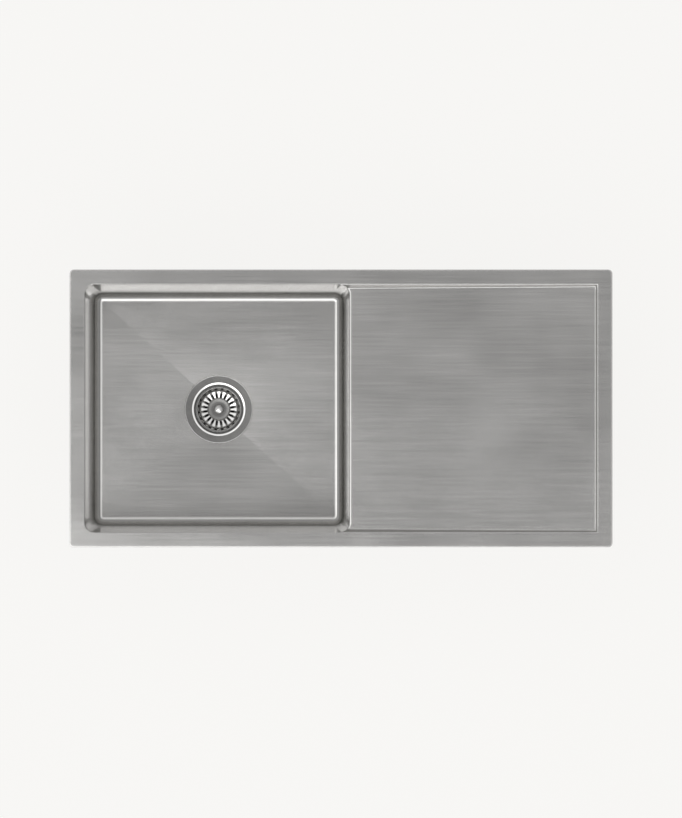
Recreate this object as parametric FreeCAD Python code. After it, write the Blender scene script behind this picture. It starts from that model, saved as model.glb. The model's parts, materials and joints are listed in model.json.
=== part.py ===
import FreeCAD, Part
import math
import os
from FreeCAD import Vector

# Kitchen sink with drainboard: a brushed stainless deck with a flat rim and a sunk, sloping drainboard,
# a deep bowl butt-welded under it, a basket strainer waste, and the clips that hold the rim to a worktop.
# Frame: X along the sink with the bowl at -X, Y from front to back, Z up. The origin is the middle of
# the underside of the rim's foam seal, which is the plane of the worktop. All sizes are in millimetres.
# Every piece is drawn from the rim's underside at height 0, and the whole is raised at the end by the
# thickness of the seal.

# ---- deck: rim and drainboard ----
overall_length = 860.0
overall_depth = 440.0
rim_width = 24.0
rim_corner_radius = 7.0
rim_bend_radius = 1.4
sheet = 1.2
bowl_length = 419.0
tray_depth_far = 6.5
tray_depth_bowl = 12.5
tray_fillet = 5.0
skirt_depth = 17.0

# ---- foam seal under the rim, as squeezed by the clips ----
seal_thickness = 1.0
seal_width = 7.0
seal_margin = 1.5

# ---- bowl ----
bowl_depth = 200.0
bowl_corner_radius = 15.0
bowl_floor_fillet = 13.5
wall_lean = 10.5
floor_fall = 3.0
fall_square = 80.0
fall_margin = 1.0
seat_radius = 57.0
seat_depth = 2.6
drain_hole_radius = 44.0

# ---- sound pads and drainboard stiffeners ----
pad_thickness = 2.5
side_pad_top = 70.0
side_pad_height = 95.0
side_pad_margin = 55.0
base_pad_gap = 16.0
base_pad_margin = 34.0
tray_pad_margin = 30.0
tray_pad_gap = 34.0
tray_pad_foot_gap = 4.0
stiffener_count = 2
stiffener_crown = 22.0
stiffener_foot = 9.0
stiffener_height = 14.0
stiffener_sheet = 1.0
stiffener_end_gap = 12.0

# ---- clip rails and clips ----
rail_width = 10.0
rail_height = 8.0
rail_sheet = 1.0
rail_slot = 4.8
rail_wall_gap = 1.0
rail_end_gap = 34.0
side_rail_end_gap = 68.0
clips_per_long_side = 3
clip_pitch = 290.0
bolt_radius = 2.0
bolt_length = 46.0
bolt_head_thickness = 2.0
bolt_head_clearance = 0.3
thread_clearance = 0.08
arm_length = 34.0
arm_width = 9.0
arm_sheet = 2.0
arm_drop = 38.0
arm_claw_height = 7.0
arm_claw_teeth = 3
nut_radius = 4.2
nut_top_radius = 3.36
nut_height = 5.0
nut_wing_reach = 9.0
nut_wing_thickness = 1.8
nut_wing_height = 9.0
nut_wing_droop = 3.0
nut_wing_root_radius = 2.4
nut_wing_drop = 1.0

# ---- waste body ----
flange_radius = 55.0
flange_land = 1.6
flange_skirt = 1.4
flange_shoulder = 0.4
flange_shoulder_blend = 0.3
flange_crown_width = 1.8
flange_crown_blend = 1.2
flange_dish = 0.6
throat_top_radius = 43.5
throat_radius = 39.2
throat_blend = 4.0
throat_lip = 0.5
throat_lip_blend = 2.0
cup_thread_radius = 41.6
cup_thread_length = 26.0
ledge_depth = 10.0
ledge_width = 2.4
ledge_height = 1.5
ledge_slope = 1.5
cup_depth = 46.0
cup_floor_sheet = 2.0
cup_wall_step = 2.0
cup_shoulder_drop = 1.0
cup_shoulder_blend = 4.0
cup_foot_width = 6.0
cup_foot_blend = 3.0
outlet_seat_rise = 1.2
outlet_seat_width = 3.0
outlet_seat_slope = 0.5
outlet_seat_chamfer = 0.6
outlet_thread_radius = 23.9
outlet_bore_radius = 20.5
outlet_length = 18.0

# ---- seals and nuts under the bowl ----
gasket_thickness = 1.2
gasket_width = 9.0
gasket_gap = 0.5
washer_thickness = 3.0
washer_outer_radius = 55.0
friction_ring_thickness = 1.0
friction_ring_margin = 2.0
locknut_height = 13.0
locknut_radius = 54.0
locknut_ribs = 12
locknut_rib_depth = 4.0
locknut_rib_width = 6.0

# ---- basket ----
basket_rim_radius = 37.2
basket_rim_thickness = 1.2
basket_rim_blend = 0.5
basket_mouth_blend = 1.0
basket_sheet = 0.8
basket_wall_top_radius = 35.2
basket_wall_bottom_radius = 31.0
basket_depth = 17.0
basket_bend = 4.0
basket_slots = 20
slot_width = 2.3
slot_inner_radius = 20.2
slot_top_below_rim = 5.5
disc_radius = 18.6
disc_dish = 1.6
disc_sheet = 0.8
disc_edge_height = 1.6
disc_edge_width = 1.6
disc_edge_blend = 0.5
disc_crest_blend = 0.8
disc_flat_radius = 8.0
disc_flat_blend = 3.0
centre_hole_radius = 4.0

# ---- knob, stem and stopper ----
stem_radius = 2.5
stem_clearance = 0.08
stem_tip_length = 1.5
bush_radius = 6.0
bush_height = 4.0
bush_neck_radius = 4.0
knob_radius = 6.8
knob_height = 16.0
knob_neck_radius = 3.4
knob_foot_flare = 0.8
knob_socket_depth = 4.0
knob_seat_gap = 0.3
stopper_radius = 25.0
stopper_thickness = 4.0
stopper_edge_width = 1.2
stopper_edge_height = 1.4
stopper_crown_radius = 17.0
stopper_crown_blend = 1.5
plate_radius = 15.0
plate_thickness = 1.2
stem_nut_width = 8.0
stem_nut_height = 4.0
stem_tail = 9.0
spider_hub_radius = 5.5
spider_height = 8.0
spider_drop = 2.4
spider_socket_gap = 0.5
spider_arm = 3.0
spider_arms = 4

# ---- tailpiece ----
tail_outer_radius = 20.0
tail_wall = 1.8
tail_length = 50.0
tail_shoulder_length = 4.0
tail_shoulder_step = 1.0
tail_flange_radius = 23.6
tail_flange_thickness = 2.0
tail_washer_thickness = 2.0
slip_nut_radius = 30.0
slip_nut_height = 20.0
slip_nut_lip = 3.0
slip_nut_ribs = 10
slip_nut_rib_depth = 2.5
slip_nut_rib_width = 5.0
rib_bite = 1.0
slip_clearance = 0.4

# ---- worked-out planes and places ----
up = Vector(0, 0, 1)
inner_x = overall_length / 2 - rim_width
inner_y = overall_depth / 2 - rim_width
bowl_left = -inner_x
bowl_right = -inner_x + bowl_length
drain_x = (bowl_left + bowl_right) / 2
floor_edge_z = sheet - bowl_depth
floor_drain_z = floor_edge_z - floor_fall
seat_z = floor_drain_z - seat_depth
seat_under_z = seat_z - sheet
weld_z = sheet - skirt_depth
above = 30.0
far_below = 400.0


def box(x0, x1, y0, y1, z0, z1):
    return Part.makeBox(x1 - x0, y1 - y0, z1 - z0, Vector(x0, y0, z0))


def round_rectangle(x0, x1, y0, y1, radius, z):
    """Closed wire of four lines and four corner arcs at height z."""
    r = radius
    d = r * (1 - math.sqrt(0.5))
    p = [Vector(x, y, z) for x, y in (
        (x0 + r, y0), (x1 - r, y0), (x1, y0 + r), (x1, y1 - r),
        (x1 - r, y1), (x0 + r, y1), (x0, y1 - r), (x0, y0 + r))]
    mid = [Vector(x, y, z) for x, y in (
        (x1 - d, y0 + d), (x1 - d, y1 - d), (x0 + d, y1 - d), (x0 + d, y0 + d))]
    edges = []
    for i in range(4):
        edges.append(Part.makeLine(p[2 * i], p[2 * i + 1]))
        edges.append(Part.Arc(p[2 * i + 1], mid[i], p[(2 * i + 2) % 8]).toShape())
    return Part.Wire(edges)


def prism(wire, height):
    return Part.Face(wire).extrude(Vector(0, 0, height))


def polygon_prism(points, direction):
    wire = Part.makePolygon([Vector(*p) for p in points] + [Vector(*points[0])])
    return Part.Face(wire).extrude(Vector(*direction))


def revolved(outline, x=0.0, y=0.0):
    """Solid of revolution about the vertical through x, y from (radius, z) points; a point written
    (radius, z, blend) has its corner rounded by that radius."""
    points = [Vector(q[0], 0, q[1]) for q in outline]
    blends = [q[2] if len(q) > 2 else 0.0 for q in outline]
    count = len(points)
    edges, starts, ends = [], [], []
    for i, here in enumerate(points):
        if not blends[i]:
            starts.append(here)
            ends.append(here)
            continue
        before = (points[i - 1] - here).normalize()
        after = (points[(i + 1) % count] - here).normalize()
        half = before.getAngle(after) / 2
        reach = blends[i] / math.tan(half)
        middle = (before + after).normalize()
        centre = here + middle * (blends[i] / math.sin(half))
        starts.append(here + before * reach)
        ends.append(here + after * reach)
        edges.append(Part.Arc(starts[-1], centre - middle * blends[i], ends[-1]).toShape())
    for i in range(count):
        a, b = ends[i], starts[(i + 1) % count]
        if a.distanceToPoint(b) > 1e-6:
            edges.append(Part.makeLine(a, b))
    face = Part.Face(Part.Wire(Part.__sortEdges__(edges)))
    solid = face.revolve(Vector(0, 0, 0), up, 360)
    solid.translate(Vector(x, y, 0))
    return solid


def around(shape, count, x=0.0, y=0.0, start=0.0):
    """Copies of a shape spaced evenly about the vertical through x, y."""
    copies = []
    for i in range(count):
        copy = shape.copy()
        copy.rotate(Vector(x, y, 0), up, start + 360.0 * i / count)
        copies.append(copy)
    return copies


def ring(inner, outer, z0, z1, x=drain_x):
    return revolved([(inner, z0), (outer, z0), (outer, z1), (inner, z1)], x)


def solid_of(shape):
    """The one solid in a boolean's result."""
    solids = shape.removeSplitter().Solids
    if len(solids) != 1:
        raise ValueError("expected one solid, found %d" % len(solids))
    return solids[0]


def edges_where(shape, test):
    return [e for e in shape.Edges if test(e.BoundBox)]


# ---- the pressed sheet: each cavity is drawn once for the inside and once, grown by the sheet, outside ----

def bowl_space(grow):
    """The bowl's space: a straight skirt under the rim, leaning walls, a filleted floor that falls
    to the drain in four facets, and the sunk seat of the waste."""
    x0, x1 = bowl_left - grow, bowl_right + grow
    y0, y1 = -inner_y - grow, inner_y + grow
    lean = wall_lean
    bottom = floor_edge_z - grow
    corner = bowl_corner_radius + grow
    skirt = prism(round_rectangle(x0, x1, y0, y1, corner, weld_z), above - weld_z)
    walls = Part.makeLoft([
        round_rectangle(x0, x1, y0, y1, corner, weld_z),
        round_rectangle(x0 + lean, x1 - lean, y0 + lean, y1 - lean, corner, bottom)], True, True)
    fillet = bowl_floor_fillet + grow
    walls = walls.makeFillet(fillet, edges_where(walls, lambda b: b.ZMax < bottom + 1e-3))
    inset = lean + bowl_floor_fillet + fall_margin
    half = fall_square / 2
    fall = Part.makeLoft([
        Part.makePolygon([Vector(x, y, bottom) for x, y in (
            (bowl_left + inset, -inner_y + inset), (bowl_right - inset, -inner_y + inset),
            (bowl_right - inset, inner_y - inset), (bowl_left + inset, inner_y - inset),
            (bowl_left + inset, -inner_y + inset))]),
        Part.makePolygon([Vector(drain_x + x, y, bottom - floor_fall) for x, y in (
            (-half, -half), (half, -half), (half, half), (-half, half), (-half, -half))])],
        True, True)
    seat = Part.makeCylinder(seat_radius + grow, seat_depth + 2 * floor_fall,
                             Vector(drain_x, 0, bottom - floor_fall - seat_depth))
    seat = seat.common(Part.makeCylinder(seat_radius + grow, far_below, Vector(drain_x, 0, -far_below)))
    return skirt.fuse([walls, fall, seat]).removeSplitter()


def tray_floor_z(x, grow=0.0):
    """Height of the drainboard's sloping floor at x."""
    share = (x - bowl_right) / (inner_x - bowl_right)
    depth = tray_depth_bowl + (tray_depth_far - tray_depth_bowl) * share
    return sheet - depth - grow


def tray_space(grow, start):
    """The drainboard's space from x = start to its far end, its floor rising away from the bowl."""
    x1, y = inner_x + grow, inner_y + grow
    tray = polygon_prism([
        (start, -y, above), (start, -y, tray_floor_z(start, grow)),
        (x1, -y, tray_floor_z(x1, grow)), (x1, -y, above)], (0, 2 * y, 0))
    low = tray_floor_z(x1, grow)
    far_edge = edges_where(tray, lambda b: b.XMin > x1 - 1e-3 and b.ZMax < low + 1e-3)
    return tray.makeFillet(tray_fillet + grow, far_edge)


def make_sheet_metal():
    """The deck and the bowl as one pressed and welded sheet, with the rim bend."""
    x, y = overall_length / 2, overall_depth / 2
    rim = prism(round_rectangle(-x, x, -y, y, rim_corner_radius, 0), sheet)
    outside = bowl_space(sheet).fuse(tray_space(sheet, drain_x))
    outside = outside.common(box(-x, x, -y, y, -far_below, sheet))
    inside = bowl_space(0).fuse(tray_space(0, drain_x))
    shell = solid_of(rim.fuse(outside).cut(inside))
    bend = edges_where(shell, lambda b: b.ZMin > sheet - 1e-3 and b.XMin > -inner_x - 1
                       and b.XMax < inner_x + 1 and b.YMin > -inner_y - 1 and b.YMax < inner_y + 1)
    shell = shell.makeFillet(rim_bend_radius, bend)
    hole = Part.makeCylinder(drain_hole_radius, far_below, Vector(drain_x, 0, -far_below))
    return solid_of(shell.cut(hole))


def split_at_weld(shell):
    """Deck above the butt weld, bowl below it."""
    x, y = overall_length, overall_depth
    deck = shell.common(box(-x, x, -y, y, weld_z, above))
    bowl = shell.common(box(-x, x, -y, y, -far_below, weld_z))
    return solid_of(deck), solid_of(bowl)


parts = {}


def make_bowl_pads():
    """Sound pads bonded to the bowl's four walls and to its base either side of the waste."""
    outer, skin = bowl_space(sheet + pad_thickness), bowl_space(sheet)
    low, high = sheet - side_pad_top - side_pad_height, sheet - side_pad_top
    left, right = bowl_left + side_pad_margin, bowl_right - side_pad_margin
    side = inner_y - side_pad_margin
    reach = bowl_length
    base_left, base_right = bowl_left + base_pad_margin, bowl_right - base_pad_margin
    base_y = inner_y - base_pad_margin
    gap = seat_radius + base_pad_gap
    under, base_top = floor_edge_z - 2 * bowl_floor_fillet, floor_edge_z
    places = {
        "pad_left": (drain_x - reach, drain_x, -side, side, low, high),
        "pad_right": (drain_x, drain_x + reach, -side, side, low, high),
        "pad_front": (left, right, -reach, 0, low, high),
        "pad_back": (left, right, 0, reach, low, high),
        "pad_base_left": (base_left, drain_x - gap, -base_y, base_y, under, base_top),
        "pad_base_right": (drain_x + gap, base_right, -base_y, base_y, under, base_top)}
    for name, limits in places.items():
        parts[name] = solid_of(box(*limits).common(outer).cut(skin))


def under_tray(x):
    return tray_floor_z(x, sheet)


def make_drainboard_backing():
    """Hat-section stiffeners across the drainboard's underside, with a sound pad in each bay."""
    y = inner_y - tray_pad_margin
    start, end = bowl_right + tray_pad_gap, inner_x - tray_pad_gap
    pitch = (end - start) / (stiffener_count + 1)
    half = stiffener_crown / 2 + stiffener_foot
    for i in range(stiffener_count):
        x = start + pitch * (i + 1)
        parts["stiffener_%d" % (i + 1)] = hat_channel(x, inner_y - stiffener_end_gap)
    for i, bay in enumerate(("near", "middle", "far")):
        x0 = start + pitch * i + (half + tray_pad_foot_gap if i else 0.0)
        x1 = start + pitch * (i + 1) - (half + tray_pad_foot_gap if i < stiffener_count else 0.0)
        parts["pad_tray_" + bay] = polygon_prism([
            (x0, -y, under_tray(x0)), (x1, -y, under_tray(x1)),
            (x1, -y, under_tray(x1) - pad_thickness), (x0, -y, under_tray(x0) - pad_thickness)],
            (0, 2 * y, 0))


def hat_channel(x, y):
    """Folded hat section, its feet flat on the sloping underside."""
    crown, foot = stiffener_crown / 2, stiffener_foot
    flat = under_tray(x) - stiffener_height
    t = stiffener_sheet

    def top(dx):
        return (x + dx, -y, under_tray(x + dx))

    def below(dx):
        return (x + dx, -y, under_tray(x + dx) - t)

    outline = [top(-crown - foot), top(-crown + t), (x - crown + t, -y, flat + t),
               (x + crown - t, -y, flat + t), top(crown - t), top(crown + foot),
               below(crown + foot), below(crown), (x + crown, -y, flat), (x - crown, -y, flat),
               below(-crown), below(-crown - foot)]
    return polygon_prism(outline, (0, 2 * y, 0))


def rail_at(length):
    """C-section rail along X under the rim, centred on the origin, its slot facing down."""
    w, h, t, slot = rail_width / 2, rail_height, rail_sheet, rail_slot / 2
    x = -length / 2
    outline = [(-w, 0), (w, 0), (w, -h), (slot, -h), (slot, t - h), (w - t, t - h), (w - t, -t),
               (t - w, -t), (t - w, t - h), (-slot, t - h), (-slot, -h), (-w, -h)]
    return polygon_prism([(x, y, z) for y, z in outline], (length, 0, 0))


def clip_places():
    """Name, x, y and the angle that turns a front clip to face outwards at each place."""
    offset = inner_y + sheet + rail_wall_gap + rail_width / 2
    side_offset = inner_x + sheet + rail_wall_gap + rail_width / 2
    places = []
    for side, y, turn in (("front", -offset, 0), ("back", offset, 180)):
        for i in range(clips_per_long_side):
            places.append(("%s_%d" % (side, i + 1), clip_pitch * (i - 1), y, turn))
    places.append(("left", -side_offset, 0, 270))
    places.append(("right", side_offset, 0, 90))
    return places


def placed(shape, x, y, turn):
    copy = shape.copy()
    copy.rotate(Vector(0, 0, 0), up, turn)
    copy.translate(Vector(x, y, 0))
    return copy


def make_rim_seal():
    """Foam strip round the rim's underside, just inside its edge."""
    x, y = overall_length / 2 - seal_margin, overall_depth / 2 - seal_margin
    outer = round_rectangle(-x, x, -y, y, rim_corner_radius - seal_margin, -seal_thickness)
    x, y = x - seal_width, y - seal_width
    inner = round_rectangle(-x, x, -y, y, rim_corner_radius / 2, -seal_thickness)
    parts["rim_seal"] = prism(outer, seal_thickness).cut(prism(inner, seal_thickness))


def make_rails():
    offset = inner_y + sheet + rail_wall_gap + rail_width / 2
    side_offset = inner_x + sheet + rail_wall_gap + rail_width / 2
    long_rail = rail_at(2 * (inner_x - rail_end_gap))
    short_rail = rail_at(2 * (inner_y - side_rail_end_gap))
    parts["rail_front"] = placed(long_rail, 0, -offset, 0)
    parts["rail_back"] = placed(long_rail, 0, offset, 180)
    parts["rail_left"] = placed(short_rail, -side_offset, 0, 270)
    parts["rail_right"] = placed(short_rail, side_offset, 0, 90)


def make_clips():
    """Eight clips: a T-head bolt in the rail, a toothed arm that swings on it and a wing nut under it.
    The arms are drawn stowed along the rail."""
    lips = rail_sheet - rail_height
    head = rail_width / 2 - rail_sheet - bolt_head_clearance
    bolt = box(-head, head, -head, head, lips, lips + bolt_head_thickness).fuse(
        Part.makeCylinder(bolt_radius, bolt_length, Vector(0, 0, lips - bolt_length)))
    under_arm = -arm_drop - arm_sheet
    arm = clip_arm(under_arm)
    nut = wing_nut(under_arm)
    bolts, nuts = [], []
    for name, x, y, turn in clip_places():
        bolts.append(placed(solid_of(bolt), x, y, turn))
        nuts.append(placed(nut, x, y, turn))
        parts["clip_arm_" + name] = placed(arm, x, y, turn)
    parts["clip_bolts"] = Part.makeCompound(bolts)
    parts["clip_wing_nuts"] = Part.makeCompound(nuts)


def clip_arm(z):
    """Strip with a round hub on the bolt and a toothed claw turned up at its far end."""
    w = arm_width / 2
    end = arm_length - arm_width / 2
    strip = Part.makeCylinder(w, arm_sheet, Vector(0, 0, z)).fuse(
        box(0, end, -w, w, z, z + arm_sheet))
    claw = box(end - arm_sheet, end, -w, w, z, z + arm_sheet + arm_claw_height)
    pitch = arm_width / arm_claw_teeth
    top = z + arm_sheet + arm_claw_height
    for i in range(arm_claw_teeth - 1):
        middle = -w + pitch * (i + 1)
        claw = claw.cut(polygon_prism([
            (end - 2 * arm_sheet, middle - pitch / 2, top + 0.01),
            (end - 2 * arm_sheet, middle + pitch / 2, top + 0.01),
            (end - 2 * arm_sheet, middle, top - pitch / 1.5)], (3 * arm_sheet, 0, 0)))
    bore = Part.makeCylinder(bolt_radius + thread_clearance, 4 * arm_sheet, Vector(0, 0, z - arm_sheet))
    return solid_of(strip.fuse(claw).cut(bore))


def wing_nut(z):
    """Wing nut whose top face carries the arm."""
    nut = Part.makeCone(nut_top_radius, nut_radius, nut_height, Vector(0, 0, z - nut_height))
    t = nut_wing_thickness / 2
    for side in (-1, 1):
        nut = nut.fuse(polygon_prism([
            (side * nut_wing_root_radius, -t, z - nut_wing_drop), (side * nut_radius, -t, z - nut_wing_drop),
            (side * nut_wing_reach, -t, z - nut_height - nut_wing_droop),
            (side * nut_wing_reach, -t, z - nut_wing_height),
            (side * (nut_wing_reach - nut_wing_droop), -t, z - nut_wing_height),
            (side * nut_wing_root_radius, -t, z - nut_height)], (0, 2 * t, 0)))
    bore = Part.makeCylinder(bolt_radius, 4 * nut_height, Vector(0, 0, z - 2 * nut_height))
    return solid_of(nut.cut(bore))


# ---- heights of the waste, from the flange down ----
flange_under_z = seat_z + gasket_thickness
flange_top_z = flange_under_z + flange_land
ledge_z = flange_top_z - ledge_depth
cup_floor_z = flange_top_z - cup_depth
outlet_end_z = cup_floor_z - cup_floor_sheet - outlet_length
basket_rim_z = ledge_z + basket_rim_thickness
basket_floor_z = basket_rim_z - basket_depth
disc_z = basket_floor_z + disc_edge_height - disc_dish + disc_sheet
stopper_z = cup_floor_z + outlet_seat_rise
locknut_top_z = seat_under_z - washer_thickness - friction_ring_thickness
tail_top_z = outlet_end_z - tail_washer_thickness


def make_strainer_body():
    """Flange, polished throat, basket ledge, cup and threaded outlet, turned as one."""
    inner, bore = throat_radius, outlet_bore_radius
    dish_z = flange_top_z - flange_dish
    ledge_bore = inner - ledge_width
    floor_top, floor_under = cup_floor_z, cup_floor_z - cup_floor_sheet
    seat_top = floor_top + outlet_seat_rise
    thread_end = flange_under_z - cup_thread_length
    shoulder = cup_thread_radius - cup_wall_step
    foot = outlet_thread_radius + cup_foot_width
    seat_edge = bore + outlet_seat_width
    skirt = flange_radius - flange_skirt
    parts["strainer_body"] = revolved([
        (flange_radius, seat_z), (flange_radius, flange_under_z + flange_shoulder, flange_shoulder_blend),
        (flange_radius - flange_crown_width, flange_top_z, flange_crown_blend),
        (throat_top_radius + throat_lip, dish_z, throat_lip_blend), (inner, dish_z, throat_blend),
        (inner, ledge_z), (ledge_bore, ledge_z), (ledge_bore, ledge_z - ledge_height),
        (inner, ledge_z - ledge_height - ledge_slope),
        (inner, thread_end - cup_shoulder_drop, cup_shoulder_blend), (foot, floor_top, cup_foot_blend),
        (seat_edge + outlet_seat_slope, floor_top), (seat_edge, seat_top),
        (bore + outlet_seat_chamfer, seat_top), (bore, seat_top - outlet_seat_chamfer),
        (bore, outlet_end_z), (outlet_thread_radius, outlet_end_z), (outlet_thread_radius, floor_under),
        (foot + cup_floor_sheet / 2, floor_under, cup_shoulder_blend),
        (shoulder, thread_end - cup_floor_sheet, cup_foot_blend), (shoulder, thread_end),
        (cup_thread_radius, thread_end), (cup_thread_radius, flange_under_z),
        (skirt, flange_under_z), (skirt, seat_z)], drain_x)


def make_seals_and_locknut():
    parts["flange_gasket"] = ring(drain_hole_radius + gasket_gap, drain_hole_radius + gasket_width,
                                  seat_z, flange_under_z)
    washer_under = seat_under_z - washer_thickness
    parts["underside_washer"] = ring(cup_thread_radius, washer_outer_radius, washer_under, seat_under_z)
    parts["friction_ring"] = ring(cup_thread_radius, washer_outer_radius - friction_ring_margin,
                                  locknut_top_z, washer_under)
    nut = ring(cup_thread_radius, locknut_radius - locknut_rib_depth,
               locknut_top_z - locknut_height, locknut_top_z)
    half = locknut_rib_width / 2
    rib = box(drain_x + locknut_radius - locknut_rib_depth - rib_bite, drain_x + locknut_radius, -half, half,
              locknut_top_z - locknut_height, locknut_top_z)
    parts["locknut"] = solid_of(nut.fuse(around(rib, locknut_ribs, drain_x)))


def make_spider():
    """Four-armed cross in the outlet whose hub takes the tip of the stem."""
    top = cup_floor_z - cup_floor_sheet - spider_drop
    hub = Part.makeCylinder(spider_hub_radius, spider_height, Vector(drain_x, 0, top - spider_height))
    arm = box(drain_x, drain_x + outlet_thread_radius, -spider_arm / 2, spider_arm / 2,
              top - spider_height, top)
    bore = Part.makeCylinder(outlet_bore_radius, far_below, Vector(drain_x, 0, -far_below))
    socket = Part.makeCylinder(stem_radius + spider_socket_gap, far_below, Vector(drain_x, 0, -far_below))
    cross = hub.fuse(around(arm, spider_arms, drain_x, 0, 45)).common(bore)
    parts["spider"] = solid_of(cross.cut(socket))


def make_basket():
    """Pressed cup with a flat rim and slots that wrap from its floor up its wall."""
    t = basket_sheet
    top, rim_under, floor = basket_rim_z, ledge_z, basket_floor_z
    wall_top, wall_foot = basket_wall_top_radius, basket_wall_bottom_radius
    basket = revolved([
        (basket_rim_radius, rim_under), (basket_rim_radius, top, basket_rim_blend),
        (wall_top - t, top, basket_mouth_blend),
        (wall_foot - t, floor, basket_bend - t), (bush_neck_radius, floor), (bush_neck_radius, floor - t),
        (wall_foot, floor - t, basket_bend), (wall_top, rim_under)], drain_x)
    slot = box(drain_x + slot_inner_radius, drain_x + throat_radius,
               -slot_width / 2, slot_width / 2, floor - 2 * t, top - slot_top_below_rim)
    slot = slot.fuse(Part.makeCylinder(slot_width / 2, 4 * t,
                                       Vector(drain_x + slot_inner_radius, 0, floor - 2 * t)))
    first = 180.0 / basket_slots
    parts["basket"] = solid_of(basket.cut(around(slot, basket_slots, drain_x, 0, first)))


def make_basket_centre():
    """Dished cover disc on the basket's floor and the guide bush that holds it down."""
    t, r, floor = disc_sheet, disc_radius, basket_floor_z
    low = floor + disc_edge_height - disc_dish
    edge = floor + disc_edge_height
    crest = r - disc_edge_width
    parts["centre_disc"] = revolved([
        (r, floor), (r, edge + t, disc_edge_blend), (crest, edge + t, disc_crest_blend),
        (disc_flat_radius, low + t, disc_flat_blend),
        (centre_hole_radius, low + t), (centre_hole_radius, low), (disc_flat_radius, low), (crest, edge),
        (r - t, edge - t / 2), (r - t, floor)], drain_x)
    bore = stem_radius + stem_clearance
    under = floor - basket_sheet
    parts["guide_bush"] = revolved([
        (bore, under - bush_height), (bush_radius, under - bush_height), (bush_radius, under),
        (bush_neck_radius, under), (bush_neck_radius, low + t), (bore, low + t)], drain_x)


def make_stopper_group():
    """Ball knob and stem that slide in the bush, with the rubber stopper and its plate and nut."""
    foot = disc_z + knob_seat_gap
    crown = foot + knob_height
    ball = knob_radius
    bottom = stopper_z - stem_tail
    centre = crown - ball
    neck, flare = knob_neck_radius, knob_foot_flare
    socket = foot + knob_socket_depth
    neck_top = centre - math.sqrt(ball ** 2 - neck ** 2)
    profile = [Part.makeLine(Vector(stem_radius, 0, foot), Vector(neck + flare, 0, foot)),
               Part.makeLine(Vector(neck + flare, 0, foot), Vector(neck, 0, foot + flare)),
               Part.makeLine(Vector(neck, 0, foot + flare), Vector(neck, 0, neck_top)),
               Part.Arc(Vector(neck, 0, neck_top), Vector(ball, 0, centre),
                        Vector(0, 0, crown)).toShape(),
               Part.makeLine(Vector(0, 0, crown), Vector(0, 0, socket)),
               Part.makeLine(Vector(0, 0, socket), Vector(stem_radius, 0, socket)),
               Part.makeLine(Vector(stem_radius, 0, socket), Vector(stem_radius, 0, foot))]
    knob = Part.Face(Part.Wire(profile)).revolve(Vector(0, 0, 0), up, 360)
    knob.translate(Vector(drain_x, 0, 0))
    parts["knob"] = knob
    tip = stem_radius / 2
    parts["stem"] = revolved([
        (0, bottom), (tip, bottom), (stem_radius, bottom + stem_tip_length), (stem_radius, socket),
        (0, socket)], drain_x)
    plate_z = stopper_z + stopper_thickness
    parts["stopper"] = revolved([
        (stem_radius, stopper_z), (stopper_radius - stopper_edge_width, stopper_z),
        (stopper_radius, stopper_z + stopper_edge_height),
        (stopper_crown_radius, plate_z, stopper_crown_blend), (stem_radius, plate_z)], drain_x)
    parts["stopper_plate"] = ring(stem_radius, plate_radius, plate_z, plate_z + plate_thickness)
    hexagon = [(drain_x + stem_nut_width / math.sqrt(3) * math.cos(math.radians(60 * i)),
                stem_nut_width / math.sqrt(3) * math.sin(math.radians(60 * i)),
                stopper_z - stem_nut_height) for i in range(6)]
    nut = polygon_prism(hexagon, (0, 0, stem_nut_height))
    parts["stem_nut"] = nut.cut(Part.makeCylinder(stem_radius, 3 * stem_nut_height,
                                                  Vector(drain_x, 0, stopper_z - 2 * stem_nut_height)))


def make_tailpiece():
    """Outlet tube hung from the cup by a ribbed slip nut, with its sealing washer."""
    inner = tail_outer_radius - tail_wall
    flange_under = tail_top_z - tail_flange_thickness
    end = flange_under - tail_length
    shoulder = tail_outer_radius + tail_shoulder_step
    shoulder_foot = flange_under - tail_shoulder_length
    parts["tailpiece"] = revolved([
        (inner, end), (tail_outer_radius, end), (tail_outer_radius, shoulder_foot),
        (shoulder, shoulder_foot + tail_shoulder_step), (shoulder, flange_under),
        (tail_flange_radius, flange_under), (tail_flange_radius, tail_top_z), (inner, tail_top_z)], drain_x)
    parts["tail_washer"] = ring(outlet_bore_radius, outlet_thread_radius, tail_top_z, outlet_end_z)
    under, top = flange_under - slip_nut_lip, flange_under - slip_nut_lip + slip_nut_height
    body = slip_nut_radius - slip_nut_rib_depth
    lip_bore = shoulder + slip_clearance
    nut = revolved([
        (lip_bore, under), (body, under), (body, top), (outlet_thread_radius, top),
        (outlet_thread_radius, flange_under), (lip_bore, flange_under)], drain_x)
    half = slip_nut_rib_width / 2
    rib = box(drain_x + body - rib_bite, drain_x + slip_nut_radius, -half, half, under, top)
    parts["slip_nut"] = solid_of(nut.fuse(around(rib, slip_nut_ribs, drain_x)))


parts["deck_panel"], parts["bowl"] = split_at_weld(make_sheet_metal())
make_rim_seal()
make_bowl_pads()
make_drainboard_backing()
make_rails()
make_clips()
make_strainer_body()
make_seals_and_locknut()
make_spider()
make_basket()
make_basket_centre()
make_stopper_group()
make_tailpiece()

os.makedirs("parts", exist_ok=True)
for name, shape in parts.items():
    shape.translate(up * seal_thickness)
    shape.exportStep("parts/" + name + ".step")
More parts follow.
